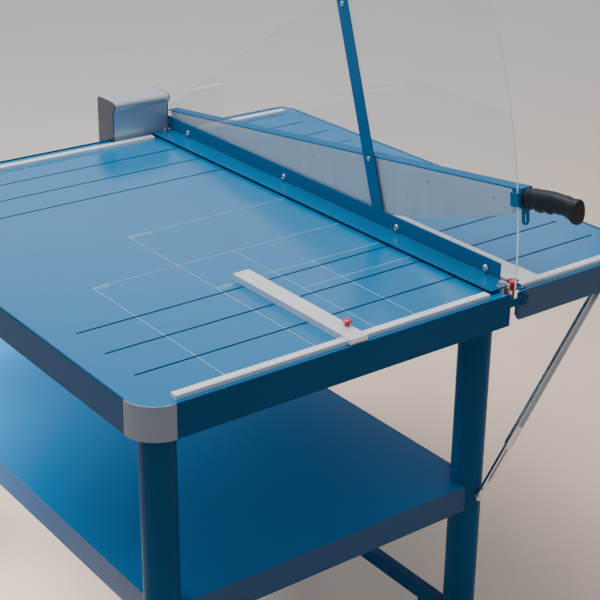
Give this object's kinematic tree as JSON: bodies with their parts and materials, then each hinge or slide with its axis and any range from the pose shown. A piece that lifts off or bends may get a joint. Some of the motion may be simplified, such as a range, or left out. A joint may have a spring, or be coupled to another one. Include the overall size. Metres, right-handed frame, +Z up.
{
  "type": "lever paper trimmer on stand",
  "caption": "Large-format lever paper trimmer on a floor stand, with foot clamp, clear blade guard, fold-down side table and sliding stop",
  "frame": {"origin": "centre of the overall box, on the floor", "axes": "+X from the cutting line towards the fold-down side table, -Y towards the operator, +Z up"},
  "size_m": [1.1084, 1.3112, 1.4121],
  "materials": {
    "frame_blue": "smooth",
    "table_blue": "satin",
    "shelf_blue": "satin",
    "clamp_blue": "satin",
    "corner_grey": "satin",
    "housing_silver": "satin",
    "housing_dark": "satin",
    "aluminium": "satin",
    "knife_steel": "brushed",
    "zinc": "plated",
    "dark_steel": "matt",
    "bronze": "satin",
    "red_plastic": "gloss",
    "clear_plastic": "clear",
    "black_plastic": "matt",
    "black_rubber": "matt"
  },
  "bodies": {
    "frame": {"leg_front_left": "frame_blue", "leg_front_right": "frame_blue", "leg_rear_left": "frame_blue", "leg_rear_right": "frame_blue", "levelling_feet": "black_plastic", "leg_sockets": "frame_blue", "shelf_tray": "shelf_blue", "front_apron": "frame_blue", "rear_apron": "frame_blue", "left_apron": "frame_blue", "corner_pieces": "corner_grey", "table_plate": "table_blue", "knife_beam": "frame_blue", "bed_knife": "knife_steel", "front_rail": "aluminium", "rear_rail": "aluminium", "housing_shell": "housing_silver", "housing_left_cap": "housing_dark", "housing_right_cap": "housing_dark", "pivot_block": "dark_steel", "pivot_bush": "bronze", "lift_spring": "dark_steel", "hinge_brackets": "frame_blue", "hinge_pins": "frame_blue", "buffer_bracket": "frame_blue", "buffer_pin": "zinc", "buffer_cap": "red_plastic", "shaft_bearings": "dark_steel", "pedal_bracket": "frame_blue", "stay_anchors": "zinc", "clamp_springs": "zinc"},
    "side_table": {"side_tray": "table_blue", "side_strip": "aluminium", "side_front_rail": "aluminium", "side_rear_rail": "aluminium", "stay_brackets": "frame_blue"},
    "front_stay": {"front_stay_rail": "zinc", "front_stay_slotted_end": "zinc", "front_stay_screws": "zinc"},
    "rear_stay": {"rear_stay_rail": "zinc", "rear_stay_slotted_end": "zinc", "rear_stay_screws": "zinc"},
    "clamp": {"clamp_bar": "clamp_blue", "guard_strap": "clamp_blue", "blade_guard": "clear_plastic", "guard_bolts": "zinc", "clamp_rods": "zinc"},
    "clamp_shaft": {"clamp_shaft": "zinc"},
    "pedal_rod": {"pedal_rod": "zinc"},
    "pedal": {"pedal_lever": "frame_blue", "pedal_tread": "black_rubber"},
    "arm": {"blade": "knife_steel", "blade_carrier": "clamp_blue", "blade_rivets": "zinc", "pivot_pin": "zinc", "front_hook": "clamp_blue", "grip": "black_plastic"},
    "back_gauge": {"back_gauge": "aluminium"},
    "gauge_knob": {"gauge_knob": "red_plastic"}
  },
  "joints": [
    {"name": "arm_swing", "type": "hinge", "parent": "frame", "child": "arm", "pos_m": [0.2092, 0.60057, 0.818], "axis": [-1, 0, 0], "range_deg": [-7.1, 21]},
    {"name": "clamp_slide", "type": "slide", "parent": "frame", "child": "clamp", "axis": [0, 0, 1], "range_m": [-0.005, 0], "stiffness_N_per_m": 5000, "springref_m": 0.035, "deforming": ["clamp_springs"]},
    {"name": "shaft_turn", "type": "hinge", "parent": "frame", "child": "clamp_shaft", "pos_m": [0.1342, 0.02857, 0.764], "axis": [0, 1, 0], "range_deg": [0, 5.5]},
    {"name": "pedal_rod_slide", "type": "slide", "parent": "frame", "child": "pedal_rod", "axis": [0, 0, 1], "range_m": [-0.0044, 0]},
    {"name": "pedal_turn", "type": "hinge", "parent": "frame", "child": "pedal", "pos_m": [0.1452, -0.40543, 0.06], "axis": [1, 0, 0], "range_deg": [0, 7.3]},
    {"name": "side_fold", "type": "hinge", "parent": "frame", "child": "side_table", "pos_m": [0.2152, 0.02857, 0.785], "axis": [0, 1, 0], "range_deg": [0, 80]},
    {"name": "front_stay_turn", "type": "hinge", "parent": "side_table", "child": "front_stay", "pos_m": [0.4612, -0.51643, 0.756], "axis": [0, -1, 0], "range_deg": [0, 107]},
    {"name": "rear_stay_turn", "type": "hinge", "parent": "side_table", "child": "rear_stay", "pos_m": [0.4612, 0.57856, 0.756], "axis": [0, -1, 0], "range_deg": [0, 107]},
    {"name": "gauge_slide", "type": "slide", "parent": "frame", "child": "back_gauge", "axis": [1, 0, 0], "range_m": [-0.31, 0.28]},
    {"name": "knob_turn", "type": "hinge", "parent": "back_gauge", "child": "gauge_knob", "pos_m": [-0.1373, -0.49744, 0.818], "axis": [0, 0, 1], "range_deg": [-180, 180]}
  ],
  "couplings": [
    {"joint": "shaft_turn", "follows": "clamp_slide", "rad_per_m": -18.868},
    {"joint": "pedal_rod_slide", "follows": "clamp_slide", "ratio": 0.84906},
    {"joint": "pedal_turn", "follows": "clamp_slide", "rad_per_m": -24.97},
    {"joint": "front_stay_turn", "follows": "side_fold", "ratio": 1.3333},
    {"joint": "rear_stay_turn", "follows": "side_fold", "ratio": 1.3333}
  ]
}
